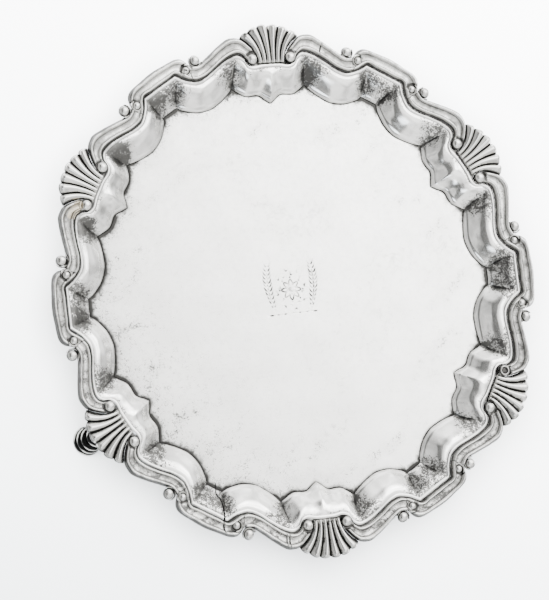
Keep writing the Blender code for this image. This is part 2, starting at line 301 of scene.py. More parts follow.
class Nodes:
    """The shader nodes of one tree; each call adds a node and gives its output."""

    def __init__(self, tree):
        self.tree = tree

    def add(self, kind, inputs):
        return self.fill(self.tree.nodes.new(kind), inputs)

    def fill(self, node, inputs):
        """The node with its inputs joined to sockets or set to numbers."""
        for key, value in inputs.items():
            if isinstance(value, bpy.types.NodeSocket):
                self.tree.links.new(value, node.inputs[key])
            else:
                node.inputs[key].default_value = value
        return node

    def place(self, kind):
        return self.tree.nodes.new("ShaderNodeTexCoord").outputs[kind]

    def attribute(self, name):
        node = self.tree.nodes.new("ShaderNodeAttribute")
        node.attribute_name = name
        return node.outputs["Fac"]

    def noise(self, place, scale, detail, roughness=0.55, distortion=0.0):
        inputs = {"Vector": place, "Scale": scale, "Detail": detail, "Roughness": roughness,
                  "Distortion": distortion}
        return self.add("ShaderNodeTexNoise", inputs).outputs["Fac"]

    def ramp(self, value, low, high, low_value=0.0, high_value=1.0, way="SMOOTHSTEP"):
        inputs = {"Value": value, "From Min": low, "From Max": high,
                  "To Min": low_value, "To Max": high_value}
        node = self.add("ShaderNodeMapRange", inputs)
        node.interpolation_type = way
        return node.outputs["Result"]

    def maths(self, operation, value, *others):
        """The value after one operation with each of the others in turn."""
        for other in others:
            node = self.add("ShaderNodeMath", {0: value, 1: other})
            node.operation = operation
            value = node.outputs["Value"]
        return value

    def plus(self, *values):
        return self.maths("ADD", *values)

    def times(self, *values):
        return self.maths("MULTIPLY", *values)

    def centred(self, value, strength):
        """Noise about nought instead of about a half, at a strength."""
        return self.times(self.maths("SUBTRACT", value, 0.5), strength)

    def mix(self, factor, *ends):
        """A colour between two colours, each a constant or a socket."""
        node = self.tree.nodes.new("ShaderNodeMix")
        node.data_type = "RGBA"
        ends = [(*end, 1.0) if isinstance(end, tuple) else end for end in ends]
        return self.fill(node, {0: factor, 6: ends[0], 7: ends[1]}).outputs[2]

    def toward(self, place, way):
        """How far a place or a direction lies along one way."""
        node = self.add("ShaderNodeVectorMath", {0: place, 1: Vector(way).normalized()})
        node.operation = "DOT_PRODUCT"
        return node.outputs["Value"]

    def scratches(self, place, stretch, turn, scale):
        """Noise drawn out along one direction."""
        inputs = {"Vector": place, "Scale": stretch, "Rotation": (0.0, 0.0, turn)}
        return self.noise(self.add("ShaderNodeMapping", inputs).outputs["Vector"], scale, 2.0, 0.6)

    def not_below(self):
        """One on a surface that faces up or sideways, falling to nothing where it faces straight down."""
        parts = self.add("ShaderNodeSeparateXYZ", {"Vector": self.place("Normal")})
        return self.ramp(parts.outputs["Z"], *FACING_DOWN)


# The kinds of wear and painted shade that every point carries
WEAR_AND_SHADE_KINDS = ("hollow", "crest", "stain", "repair", "matt", "film_and_shade")
FACING_DOWN = (-0.95, -0.6)
# Scale, detail, roughness and distortion of the three noises
CLOUD = (42.0, 5.0, 0.6)
MEDIUM = (420.0, 4.0, 0.65, 0.5)
FINE = (1500.0, 3.0, 0.75)
HOLLOW_NOISE = 1.2
HOLLOW_EDGE = (0.05, 0.75)
STAIN_NOISE = 5.0
SPECK_EDGE = (0.35, 0.8)
SPECK_LEVEL = 0.96
STAIN_START = (0.02, 0.25)
SOLID_STAIN = (0.84, 1.0, 0.0, 0.93)
REPAIR_EDGE = (0.35, 0.6)
SOLDER_COLOUR = (0.40, 0.36, 0.29)
BUMP_STRENGTH = 0.3
BUMP_DEPTH = 0.08 * MM


def silver(name, bright, dull, tarnish, grime_and_shade, roughness, veil):
    """Worn silver: bright crests, hollows dark with tarnish and painted shade, stipple where tarnish has
    settled, and scratches.
    """
    material = bpy.data.materials.new(name)
    material.use_nodes = True
    nodes = Nodes(material.node_tree)
    place = nodes.place("Object")
    cloud, medium, fine = (nodes.noise(place, *kind) for kind in (CLOUD, MEDIUM, FINE))
    hollow, crest, stain, repair, matt, film_and_shade = map(nodes.attribute, WEAR_AND_SHADE_KINDS)
    hollow = nodes.times(hollow, nodes.not_below())

    # Tarnish and painted shade lie in the hollows, deeper in some places than in others
    uneven = nodes.plus(nodes.centred(medium, 0.5), nodes.centred(cloud, 0.5))
    in_hollow = nodes.ramp(nodes.plus(hollow, nodes.times(uneven, HOLLOW_NOISE)), *HOLLOW_EDGE)
    # Stains are a grey veil that breaks up into dark specks, and solid where they are thickest
    grain = nodes.plus(nodes.times(medium, 0.4), nodes.times(fine, 0.6))
    spread = nodes.plus(stain, nodes.centred(grain, STAIN_NOISE))
    specks = nodes.times(nodes.ramp(spread, *SPECK_EDGE), nodes.ramp(stain, *STAIN_START))
    solid = nodes.ramp(nodes.plus(stain, nodes.times(uneven, 0.8)), *SOLID_STAIN)
    specked = nodes.times(specks, SPECK_LEVEL)
    dark = nodes.maths("MAXIMUM", in_hollow, specked, nodes.times(stain, veil), solid)
    dark = nodes.maths("MINIMUM", dark, 1.0)

    worn = nodes.plus(nodes.ramp(cloud, 0.3, 0.7, 0.0, 0.6), nodes.ramp(fine, 0.35, 0.7, 0.0, 0.4))
    skin = nodes.mix(nodes.times(worn, nodes.maths("SUBTRACT", 1.0, crest)), bright, dull)
    # A grey film, in places painted shade, dulls the skin toward the tarnish colour
    skin = nodes.mix(film_and_shade, skin, tarnish)
    colour = nodes.mix(dark, skin, nodes.mix(in_hollow, tarnish, grime_and_shade))
    patchy = nodes.ramp(nodes.plus(repair, nodes.centred(medium, 0.9)), *REPAIR_EDGE)
    colour = nodes.mix(nodes.times(patchy, nodes.ramp(repair, 0.0, 0.2)), colour, SOLDER_COLOUR)
    rough = nodes.plus(nodes.ramp(medium, 0.3, 0.7, roughness - 0.01, roughness + 0.05),
                       nodes.plus(nodes.times(dark, 0.2), nodes.times(matt, 0.09)))

    # Fine scratches in two directions, pits, and the grain of the tarnish
    relief = nodes.times(nodes.plus(nodes.scratches(place, (1.0, 0.04, 1.0), 0.6, 1500.0),
                                    nodes.scratches(place, (0.05, 1.0, 1.0), -0.35, 1200.0)), 0.25)
    relief = nodes.plus(relief, nodes.times(medium, 0.2), nodes.times(specks, -0.5),
                        nodes.times(repair, medium, 3.0))
    bump = nodes.add("ShaderNodeBump", {"Strength": BUMP_STRENGTH, "Distance": BUMP_DEPTH, "Height": relief})
    nodes.fill(material.node_tree.nodes["Principled BSDF"],
               {"Base Color": colour, "Metallic": 1.0, "Roughness": rough, "Normal": bump.outputs["Normal"]})
    return material


# Near black: grime and painted shade in the deepest hollows, and the painted shade of the crack
GRIME_AND_SHADE_COLOUR = (0.010, 0.010, 0.010)
PLATE_SILVER = silver("worn_silver", (0.94, 0.935, 0.915), (0.84, 0.835, 0.81), (0.06, 0.059, 0.056),
                      (0.034, 0.0335, 0.032), 0.14, 0.4)
CAST_SILVER = silver("cast_silver", (0.72, 0.715, 0.69), (0.34, 0.335, 0.32), (0.07, 0.069, 0.066),
                     (0.052, 0.051, 0.049), 0.22, 0.5)
# The crack is painted near black throughout, standing in for the shade inside its gap
CRACK_SHADE = silver("open_crack_shade", *[GRIME_AND_SHADE_COLOUR] * 4, 0.5, 0.0)
# The feet are a darker silver: tarnish, and painted shade for the plate's shadow over them
FOOT_SILVER_IN_SHADE = silver("tarnished_silver", (0.62, 0.61, 0.58), (0.20, 0.195, 0.185), (0.012, 0.012, 0.012),
                     GRIME_AND_SHADE_COLOUR, 0.22, 0.6)


# ---- plate

BRACKET_COLUMNS = 26
LOBE_COLUMNS = 42
SIDE_COLUMNS = 9
BOUGE_ROWS = 24
FLANGE_ROWS = 9
# Creases of the slope, which run outward from the corners of the well, and the corners themselves
CREASES = (((18.6, 97.3), (17.3, 111.0)), ((47.2, 90.0), (49.0, 103.0)))
WELL_CORNERS = (((18.6, 97.3), (18.6, 96.5)), ((47.2, 90.0), (53.0, 86.7)))


def half_to_ring(half):
    sector = np.vstack([half, reflect(half[:-1][::-1], HALF_SECTOR)[:-1]])
    return np.vstack([turned(sector, hour) for hour in SHELL_HOURS])


# The flat band between the slope and the border, and the roll and valley at the foot of the slope
BAND_DROP = 0.2
BAND_HEIGHT = 0.55
# How dark the band is painted: the moulding's painted shadow with dirt at its foot, and a grey film that
# paints shade over the band's shine
BAND_SHADOW_AND_DIRT = 0.8
BAND_FILM_AND_SHADE = 0.32
ROLL_SHARE = 0.15
ROLL_HEIGHT = 1.3
VALLEY_DEPTH = 0.14


def bouge_height(points, share):
    """Height over the well of the lobed slope at a share of the way from the well to the flange."""
    x, y = folded(points)
    crease = np.minimum(*(distance_to(x, y, *ends) for ends in CREASES))
    near = np.exp(-crease / 3.0)
    # A round roll along the well, then a slope that steepens and eases again into the flange
    roll = ROLL_HEIGHT * (1 - unit(1 - share / ROLL_SHARE) ** 2) * (1 - 0.5 * near)
    along = unit((share - 0.05) / 0.95) ** (0.8 + 0.25 * near)
    slope = along * along * (3 - 2 * along)
    height = roll + (FLANGE - WELL - BAND_DROP - roll) * slope
    bow = np.sin(math.pi * share)
    height -= VALLEY_DEPTH * bell(share - ROLL_SHARE - 0.03, 0.04) * (1 - near)
    height += 0.6 * bow * (1 - near) - 0.2 * bow * np.exp(-crease / 1.6)
    # Each bracket has a keel down its middle and a shallow cheek on either side
    height += bow * (0.55 * bell(x, 1.9) - 0.45 * bell(x - 7.0, 3.4) * bell(y - 103.5, 3.0))
    dents = 0.17 * ripple(points, 19.0, 5) + 0.03 * ripple(points, 7.0, 6)
    # Marks of the hammer run round the salver along the slope
    course = 4.2 * share + 0.35 * ripple(points, 60.0, 9)
    dents += 0.028 * np.sin(math.tau * course) * (0.6 + 0.6 * ripple(points, 31.0, 10))
    return height + bow * dents


# Solid dark patches on the slope: half sector counted clockwise from twelve, segment and reach
PATCHES = (
    (1, (19.8, 100.6), (19.9, 102.0), 2.9),
    (9, (50.5, 98.5), (54.0, 96.5), 3.6),
    (10, (17.0, 105.0), (19.0, 107.0), 3.8),
    (11, (20.0, 103.0), (20.0, 106.0), 4.2),
    (11, (50.0, 101.5), (53.5, 99.5), 4.0),
)
STIPPLE_MOST = 0.8


def stain_and_shade_on_plate(points, inside):
    """How far tarnish has settled: in creases, on the panels under the arches and on the well's edge; on the
    well a broad part of it is painted shade.
    """
    x, y = folded(points)
    half = half_sector(points)
    rng = np.random.default_rng(12)
    beside, corner = rng.uniform(0.75, 1.1, 12), rng.uniform(0.45, 0.9, 12)
    panel = rng.uniform(0.65, 0.95, 6)
    total = beside[half] * spot(x, y, (20.0, 101.5), (19.6, 109.0), 4.4)
    total += 0.5 * beside[half] * spot(x, y, (23.0, 107.5), (27.0, 104.0), 3.6)
    total += corner[half] * spot(x, y, (47.8, 93.0), (48.6, 101.5), 3.6)
    total += panel[(half - 1) // 2 % 6] * spot(x, y, (49.5, 99.5), (58.0, 94.5), 6.5)
    total += 0.42 * spot(x, y, (3.0, 106.0), (9.0, 105.6), 1.9)
    total += 0.2 * unit(ripple(points, 11.0, 21))
    total = np.clip(total, 0, STIPPLE_MOST) + 0.9 * spot(x, y, (18.6, 97.6), (18.9, 98.8), 1.2)
    for patch_half, start, end, reach in PATCHES:
        total += np.where(half == patch_half, spot(x, y, start, end, reach), 0)
    cusp = np.minimum(*(distance_to(x, y, *ends) for ends in WELL_CORNERS))
    westward = np.clip(0.6 - 0.6 * (points[:, 0] - 0.5 * points[:, 1]) / 100.0, 0.15, 1)
    on_well = np.exp(np.minimum(inside, 0) / 3.0) * (0.3 + 0.6 * bell(cusp, 6.0)) * westward
    # A broad darkening toward the south-west of the well: painted shade
    on_well += 0.15 * unit(-(points[:, 0] + 0.8 * points[:, 1]) / 110.0)
    on_well += 0.34 * bell(inside + 13, 9.0) * unit(ripple(points, 23.0, 8))
    return np.where(inside < -0.05, on_well, unit(total))


def film_and_shade_on_plate(points, inside):
    """A thin grey film: on the well it is painted shade, to the south-west and along the edge there; on the
    slope, grey patches darker to the west, and painted shade on the brackets' cheeks.
    """
    x, y = folded(points)
    west = unit(0.38 - (points[:, 0] + 0.3 * points[:, 1]) / 150.0)
    on_well = 0.30 * west + 0.28 * west * np.exp(np.minimum(inside, 0) / 3.5)
    cheek = bell(x - 8.0, 4.0) * bell(y - 103.5, 4.0)
    patches = unit(0.4 + 0.8 * ripple(points, 14.0, 41))
    on_slope = (0.2 * patches + 0.4 * cheek) * np.clip(0.45 - points[:, 0] / 110.0, 0.2, 1)
    return np.where(inside < -0.05, on_well, on_slope)


ORNAMENT_CENTRE = (-0.6, 1.0)


def polar(reach, turn):
    return reach * np.array([math.cos(turn), math.sin(turn)])


def ornament():
    """Strokes of the engraving: two leafy sprays, a rosette between them and a dashed base line."""
    strokes = []
    for k in range(7):
        start = -12.4 + 3.7 * k
        strokes.append([(start, -11.6 + 0.12 * k), (start + (1.6 if k % 3 else 2.5), -11.5 + 0.12 * k)])
    for side in (-1, 1):
        stem = [(side * (9.2 + 2.6 * math.sin(2.4 * t)), -9.8 + 21.0 * t) for t in np.linspace(0, 1, 12)]
        strokes.append(stem)
        for i, (x, y) in enumerate(stem[1:]):
            length = 3.0 * math.sin(0.5 + 0.2 * i)
            for hand in (-1, 1):
                middle = (x + hand * length * 0.45, y + length * 0.25)
                strokes.append([(x, y), middle, (x + hand * length * 0.75, y + length * 0.85)])
    for k in range(8):
        turn = math.tau * k / 8
        way, across = polar(1, turn), polar(1, turn + math.tau / 4)
        strokes.append([way * (1.5 + 3.4 * t) + across * bulge for t, bulge in
                        ((0, 0), (0.45, 0.95), (1, 0), (0.45, -0.95), (0, 0))])
        strokes.append([way * 5.6 + across * 0.4, way * 6.2 - across * 0.4])
    for k in range(16):
        turn = math.tau * (k + 0.3) / 16
        start = polar(7.6 + 0.9 * (-1) ** k, turn) * (0.85, 1.1)
        strokes.append([start, start + polar(0.9, turn + 1.9), start + polar(1.4, turn + 1.2)])
    for reach in (0.6, 1.2):
        strokes.append([polar(reach, turn) for turn in np.linspace(0, math.tau, 9)])
    return [np.array(stroke) + ORNAMENT_CENTRE for stroke in strokes]


# Rows of points along a groove: distance to one side, depth and darkness
GROOVE_ROWS = ((-0.52, 0.0, 0.0), (-0.27, 0.0, 0.8), (0.0, -0.09, 1.0), (0.27, 0.0, 0.8), (0.52, 0.0, 0.0))
NET_REACH = 104
NET_STEP = 2.0


def well_points():
    """Inner points of the well with their sink and darkness: an even net, and rows along each stroke."""
    spots, sink, ink = [], [], []
    rng = np.random.default_rng(4)
    for stroke in ornament():
        line = spline(stroke, 8) if len(stroke) > 2 else np.array(stroke)
        length = np.linalg.norm(np.diff(line, axis=0), axis=1).sum()
        line = even(line, max(3, int(length / 0.45)))
        taper = np.sin(np.linspace(0.25, math.pi - 0.25, len(line)))
        fill = rng.uniform(0.15, 1.0) ** 0.8
        for offset, depth, darkness in GROOVE_ROWS:
            spots.append(line + sideways(line) * offset * (0.5 + 0.5 * taper)[:, None])
            sink.append(depth * taper)
            ink.append(darkness * taper * fill)
    strokes = np.vstack(spots)
    # A net in which every other row is moved on by half a step
    grid = np.arange(-NET_REACH, NET_REACH + 0.1, NET_STEP)
    gx, gy = np.meshgrid(grid, grid)
    net = np.stack([(gx + NET_STEP / 2 * (np.round(gy / NET_STEP) % 2)).ravel(), gy.ravel()], axis=1)
    apart = np.array([np.min(np.hypot(*(strokes - p).T)) for p in net])
    net = net[apart > 0.8]
    spots.append(net)
    sink.append(np.zeros(len(net)))
    ink.append(np.zeros(len(net)))
    return np.vstack(spots), np.concatenate(sink), np.concatenate(ink)


def plate_lines():
    """Rings of points round the well and the flange's two edges, and the way outward."""
    well = half_to_ring(np.vstack([even(spline(WELL_BRACKET), BRACKET_COLUMNS)[:-1],
                                   even(spline(WELL_LOBE), LOBE_COLUMNS)[:-1],
                                   even(np.array(WELL_SIDE), SIDE_COLUMNS)]))
    border = half_to_ring(np.vstack([crested(FLANGE_WAVE, FLANGE_CREST, BRACKET_COLUMNS, LOBE_COLUMNS)[:-1],
                                     even(np.array(FLANGE_SIDE), SIDE_COLUMNS)]))
    outward = border - well
    outward /= np.linalg.norm(outward, axis=1)[:, None]
    return well, border - FLANGE_WIDTH * outward, border, outward


# Rings inside the well's edge: distance from it, sink and darkness
INSIDE_ROWS = ((4.4, 0.0, 0.0), (2.9, 0.0, 0.22), (1.8, 0.0, 0.45), (1.0, 0.0, 0.75), (0.4, -0.02, 1.0))
WELL_CUSPS = (WELL_LOBE[0], WELL_LOBE[-1])
# Rings at the foot of the slope: share of the way up it and height over the well
EDGE_ROWS = ((0.0, -0.05), (0.010, -0.12), (0.03, 0.1))


def slope_rows(well, flange, border, outward):
    """Rings of points from the well's edge over the lobed slope and the flange to below the border."""
    rows = [np.column_stack([well - gap * outward, np.full(len(well), WELL + sink)])
            for gap, sink, dark in INSIDE_ROWS]
    x, y = folded(well)
    cusp = np.minimum(*(np.hypot(x - cusp_x, y - cusp_y) for cusp_x, cusp_y in WELL_CUSPS))
    for share, sink in EDGE_ROWS:
        plan = well + (flange - well) * share
        rows.append(np.column_stack([plan, WELL + sink * (1 + 1.5 * np.exp(-cusp / 3.0))]))
    low = EDGE_ROWS[-1][0]
    for k in range(1, BOUGE_ROWS + 1):
        share = low + (1 - low) * (k / BOUGE_ROWS) ** 1.35
        plan = well + (flange - well) * share
        rows.append(np.column_stack([plan, WELL + bouge_height(plan, np.full(len(plan), share))]))
    for k in range(1, FLANGE_ROWS + 1):
        share = k / FLANGE_ROWS
        height = FLANGE - BAND_DROP * (1 + share) + BAND_HEIGHT * math.sin(0.9 * math.pi * share) ** 0.6
        rows.append(np.column_stack([flange + (border - flange) * share, np.full(len(well), height)]))
    for reach in (0.4, UNDER_BORDER):
        rows.append(np.column_stack([border + reach * outward, np.full(len(well), FLANGE - UNDER_DROP)]))
    return rows


def well_wedge(well):
    """How dark the well's edge is painted, for tarnish and painted shade: in corners and on straight sides,
    more to the west.
    """
    x, y = folded(well)
    corner = np.hypot(x - WELL_CUSPS[0][0], y - WELL_CUSPS[0][1])
    side = distance_to(x, y, *WELL_SIDE)
    bracket = distance_to(x, y, (7.5, 93.6), (15.0, 95.0))
    west = np.clip(0.62 - (well[:, 0] + 0.3 * well[:, 1]) / 230.0, 0.66, 1)
    amount = np.maximum.reduce([np.exp(-(corner / 5.5) ** 1.3), 0.95 * np.exp(-(side / 5.0) ** 1.4),
                                0.8 * west ** 2 * bell(bracket, 3.0), 1.5 * unit(west - 0.7)])
    return unit(amount * west * 1.6)


def make_plate():
    well, flange, border, outward = plate_lines()
    rows = slope_rows(well, flange, border, outward)
    count = len(well)
    points = np.vstack(rows)
    faces = grid_faces(len(rows), count)

    inner, sink, ink = well_points()
    seam = rows[0][:, :2]
    inside = distance_inside(inner, seam)
    keep = inside > 0.7
    inner, sink, ink, inside = inner[keep], sink[keep], ink[keep], inside[keep] + INSIDE_ROWS[0][0]
    ring = [(i, (i + 1) % count) for i in range(count)]
    flat = [Vector(p) for p in np.vstack([seam, inner])]
    found = delaunay_2d_cdt(flat, ring, [list(range(count))], 1, 1e-6)
    source = np.array([ids[0] for ids in found[3]])
    table = np.where(source < count, source, source + len(points) - count)
    faces += [tuple(int(v) for v in table[list(face)]) for face in found[2]]
    slope = len(points)
    heights = WELL + sink + 0.05 * ripple(inner, 46.0, 3)
    points = np.vstack([points, np.column_stack([inner, heights])])

    plate = make_piece("salver_plate", points, faces, PLATE_SILVER, sharp=32.0)
    if plate.data.polygons[-1].normal.z < 0:
        plate.data.flip_normals()
    inside = np.r_[np.zeros(slope), -inside]
    hollow = np.r_[np.zeros(slope), ink]
    # The rows inside the well's edge and at the foot of the slope are painted dark: tarnish in the edge's
    # line, and painted shade
    wedge = well_wedge(well)
    for k, (gap, depth, dark) in enumerate(INSIDE_ROWS):
        inside[k * count:(k + 1) * count] = -gap
        hollow[k * count:(k + 1) * count] = dark * wedge
    first = len(INSIDE_ROWS) * count
    line = np.clip(0.42 + 0.6 * wedge + 0.18 * ripple(well, 27.0, 15), 0.1, 1)
    hollow[first:first + 2 * count] = np.r_[line, line]
    stain = stain_and_shade_on_plate(points, inside)
    band = slice((len(rows) - 2 - FLANGE_ROWS) * count, (len(rows) - 2) * count)
    stain[band] *= 0.15
    flat = points[band]
    # On the band: painted shadow of the moulding, deeper toward it and toward the top-left
    uneven = np.clip(0.75 + (flat[:, 1] - flat[:, 0]) / 340.0, 0.4, 1.2) + 0.3 * ripple(flat, 21.0, 16)
    uneven *= np.clip((folded(flat)[0] - 10.0) / 4.0, 0.15, 1)
    hollow[band] = BAND_SHADOW_AND_DIRT * uneven * np.repeat(np.arange(1, FLANGE_ROWS + 1) / FLANGE_ROWS, count) ** 1.5
    film_and_shade = film_and_shade_on_plate(points, inside)
    film_and_shade[band] = np.maximum(film_and_shade[band], BAND_FILM_AND_SHADE)
    EXTRA["salver_plate"] = {"stain": stain, "hollow": hollow, "matt": unit(-inside / 2.0),
                             "film_and_shade": film_and_shade}
    thick = plate.modifiers.new("sheet", "SOLIDIFY")
    thick.thickness = (SHEET - 0.05) * MM
    thick.offset = -1.0
    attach(plate, "root")
    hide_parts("plate")
    return plate


def distance_inside(points, ring):
    """Distances from points to a ring round the centre, negative outside it."""
    gap = np.linalg.norm(points[:, None] - ring, axis=2)
    nearest = ring[np.argmin(gap, axis=1)]
    inside = np.linalg.norm(points, axis=1) < np.linalg.norm(nearest, axis=1)
    return np.min(gap, axis=1) * np.where(inside, 1, -1)


CRACK_RISES = (0.09, -0.35)


def make_crack(ground):
    """The tear in the sheet that runs on from the broken arch down to the well, as a thin black ribbon that
    paints the shade inside the gap.
    """
    line = even(spline(CRACK, 12), 60)
    line += 0.16 * np.stack([ripple(line, 2.3, 31), ripple(line, 1.9, 32)], axis=1)
    half = 0.16 + 0.30 * np.sin(np.linspace(1.1, math.pi - 0.1, len(line)))
    half = sideways(line) * half[:, None]
    left, right = turned(line - half, 6), turned(line + half, 6)
    up, down = CRACK_RISES
    edges = [[(x, y, surface_height(ground, x, y) + rise) for x, y in side]
             for side, rise in ((left, up), (right, up), (right, down), (left, down))]
    points = np.array(edges).transpose(1, 0, 2).reshape(-1, 3)
    crack = make_piece("crack", points, tube_faces(len(line), len(edges)), CRACK_SHADE)
    EXTRA["crack"] = {"hollow": np.ones(len(points))}
    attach(crack, "root")
    return crack


# ---- border

def ridge(start, end, low, crest, high, steps):
    """Share of the width and height over a round ridge between two shares."""
    t = np.arange(steps + 1) / steps
    base = low + (high - low) * t
    return zip(start + (end - start) * t, base + (crest - base) * np.sin(math.pi * t) ** 0.75)


def moulding_section():
    """Section of the moulding from its inner to its outer edge, as share of width and height."""
    section = [(0.0, 0.0), (0.0, 0.25), (0.035, 0.25), (0.06, 0.4)]
    section += ridge(0.07, 0.29, 0.6, 2.05, 1.25, 12)
    section += [(0.29 + 0.37 * t, 1.25 + 0.2 * t - 0.2 * math.sin(math.pi * t))
                for t in np.arange(1, 10) / 10]
    section += ridge(0.66, 0.975, 1.45, 2.55, 0.9, 16)
    section += [(1.0, 0.9), (1.0, 0.3), (0.97, 0.0)]
    return np.array(section)


MOULDING = moulding_section()
# Tarnish and painted shade over the section: in the groove at each foot of a ridge, over the cove, and
# painted shade down the outer wall
SHADE_AND_DIRT_SHARES = (0.0, 0.05, 0.1, 0.24, 0.285, 0.32, 0.5, 0.63, 0.67, 0.72, 0.84, 0.9, 0.94, 1.0)
SHADE_AND_DIRT_LEVELS = (0.9, 0.65, 0.08, 0.0, 0.36, 0.32, 0.30, 0.28, 0.34, 0.14, 0.22, 0.6, 0.95, 1.0)
MOAT_FLOOR = 0.75
MOAT_LEVEL = 0.8
MOAT_EDGE = 1.5
SEAM_WIDTH = 0.22


def add_moulding(heap, inner, outer, seed, beads, seams=()):
    """A moulding between two equally divided lines, sunk round its beads and cut by its seams."""
    across = outer - inner
    width = np.linalg.norm(across, axis=1)[:, None]
    share, rise = MOULDING.T
    plan = inner[:, None] + across[:, None] * share[None, :, None]
    wobble = 0.08 * ripple(outer, 9.0, seed + 1)
    bend = unit(share * (1.05 - share) * 4)
    plan += (across / width)[:, None] * (wobble[:, None] * bend[None])[:, :, None]
    lift = 1 + 0.03 * ripple(inner, 13.0, seed)[:, None]
    height = np.where(rise > 0.35, rise * lift, rise)
    for radius, level, x, y in beads:
        gap = np.hypot(plan[..., 0] - x, plan[..., 1] - y) - radius
        outer_side = np.clip(0.15 + 1.1 * (plan[..., 1] - y) / radius, 0.03, 1)
        moat = outer_side * unit((MOAT_EDGE - gap) / (MOAT_EDGE - MOAT_FLOOR)) ** 1.5
        height -= np.where(height > MOAT_LEVEL, (height - MOAT_LEVEL) * moat, 0)
    for start, end, depth in seams:
        gap = distance_to(plan[..., 0], plan[..., 1], start, end)
        height -= np.where(height > 0.3, depth * bell(gap, SEAM_WIDTH), 0)
    height = np.clip(height, 0, RIM - BED)
    points = np.concatenate([plan, BED + height[..., None]], axis=2)
    dirt_and_shade = np.interp(share, SHADE_AND_DIRT_SHARES, SHADE_AND_DIRT_LEVELS)[None] + 0.2 * ripple(plan, 12.0, seed + 2)
    heap.add(points.reshape(-1, 3), tube_faces(len(inner), len(share)), dirt_and_shade.ravel())


BEAD_RINGS = 18
BEAD_SEGMENTS = 36
CURL_STEPS = 40
CURL_SEGMENTS = 12


def bead_points(bead, seed, open_top=False, pinhole=False):
    """A dome on the border: a boss beside a shell, or a bead in a curl."""
    radius, height, x, y = bead
    rng = np.random.default_rng(seed)
    x, y = x + rng.uniform(-0.12, 0.12), y + rng.uniform(-0.12, 0.12)
    lift = np.radians(89) * np.arange(BEAD_RINGS + 1) / BEAD_RINGS
    around = math.tau * np.arange(BEAD_SEGMENTS) / BEAD_SEGMENTS
    reach = radius * np.cos(lift)[:, None] * (1 + 0.02 * np.cos(2 * around + rng.uniform(0, 6)))[None]
    level = 0.1 + (height - 0.15) * np.sin(lift)[:, None] ** 0.62
    if open_top:
        # Worn through: a round lip about a hole
        lip = np.sqrt(np.clip(1 - ((reach / radius - 0.79) / 0.21) ** 2, 0.04, 1))
        level = 0.1 + (height - 0.35) * lip ** 0.7
    if pinhole:
        level = level - 1.2 * unit(1 - reach / (0.24 * radius)) ** 0.5
    level = np.broadcast_to(BED + level, reach.shape)
    points = np.stack([x + reach * np.cos(around), y + reach * np.sin(around), level], axis=2)
    # Darker toward the foot of the dome: painted shade with grime
    dirt_and_shade = np.repeat(0.1 + unit(1 - lift / 0.6), BEAD_SEGMENTS)
    return points.reshape(-1, 3), tube_faces(BEAD_RINGS + 1, BEAD_SEGMENTS), dirt_and_shade


def curl_points(centre, reach, start, sweep, thick, height):
    """A thin rounded lip that turns about a bead and tapers to its end; angles in degrees from +X."""
    t = np.linspace(0, 1, CURL_STEPS + 1)[:, None]
    angle = np.radians(start + sweep * t)
    size = thick * (0.35 + 0.65 * (1 - t) ** 0.7) * np.minimum(1.0, 0.5 + 6 * t)
    around = math.tau * np.arange(CURL_SEGMENTS) / CURL_SEGMENTS
    out = reach * (1 - 0.08 * t) + size * np.cos(around)
    up = height * (0.75 + 0.25 * (1 - t)) * (0.5 + 0.5 * np.sin(around))
    points = np.stack([centre[0] + out * np.cos(angle), centre[1] + out * np.sin(angle), BED + up], axis=2)
    return points.reshape(-1, 3), tube_faces(CURL_STEPS + 1, CURL_SEGMENTS)


def shell_side(share, clearance):
    """A point on the shell's flaring side, moved off it by a clearance."""
    flare = GROOVE_TIP_X[-1] - GROOVE_BASE_X[-1]
    rise = GROOVE_TIP_Y[-1] - SHELL_BASE_Y
    way = np.array([FLARE_POWER * flare * share ** (FLARE_POWER - 1), rise])
    way /= np.linalg.norm(way)
    return (GROOVE_BASE_X[-1] + flare * share ** FLARE_POWER + clearance * way[1],
            SHELL_BASE_Y + rise * share - clearance * way[0])


BEAD_CURL = 0.62


def make_scroll(hour, side):
    seed = 100 + hour * 10 + side
    curl = [shell_side(share, 0.12) for share in SHELL_SIDE_SHARES]
    inner = crested(SCROLL_INNER, SCROLL_INNER_CREST, 40, 120)
    outer = crested((*curl, *SCROLL_OUTER_RUN), len(curl), 40, 120)
    outer_bead = BENT_OUTER_BEAD.get(hour, OUTER_BEAD) if side > 0 else OUTER_BEAD
    heap = Heap()
    add_moulding(heap, inner, outer, seed, (SHELL_BOSS, outer_bead, INNER_BEAD), SEAMS.get((hour, side), ()))
    heap.add(*bead_points(SHELL_BOSS, seed, open_top=(hour == 4 and side < 0)))
    heap.add(*bead_points(outer_bead, seed + 5))
    radius, height, x, y = outer_bead
    heap.add(*curl_points((x, y), radius + BEAD_CURL, 195, 190, 0.55, 2.2))
    return heap.make(f"scroll_{hour}_{'right' if side > 0 else 'left'}", CAST_SILVER, hour, side)


def make_arch(hour):
    both = []
    for half in (ARCH_INNER, ARCH_OUTER):
        knots = np.array(half)
        knots = np.vstack([knots, reflect(knots[:-1][::-1], HALF_SECTOR)])
        both.append(even(spline(knots), 130))
    ends = (BENT_INNER_BEAD.get(hour, INNER_BEAD), INNER_BEAD)
    far = reflect(np.array([INNER_BEAD[2:]]), HALF_SECTOR)[0]
    heap = Heap()
    add_moulding(heap, both[0], both[1], 300 + hour, (ends[0], (*INNER_BEAD[:2], *far)), SEAMS.get(hour, ()))
    for end, seed in enumerate((320 + hour, 340 + hour)):
        radius, height, x, y = ends[end]
        parts = (bead_points(ends[end], seed, pinhole=(hour == 11 and end == 1)),
                 curl_points((x, y), radius + BEAD_CURL, 70, 230, 0.55, 2.45))
        for points, *skin in parts:
            if end:
                points = np.column_stack([reflect(points[:, :2], HALF_SECTOR), points[:, 2]])
            heap.add(points, *skin)
    return heap.make(f"arch_{hour}", CAST_SILVER, hour - 1)


RIB_COLUMNS = 18
SHELL_ROWS = 56


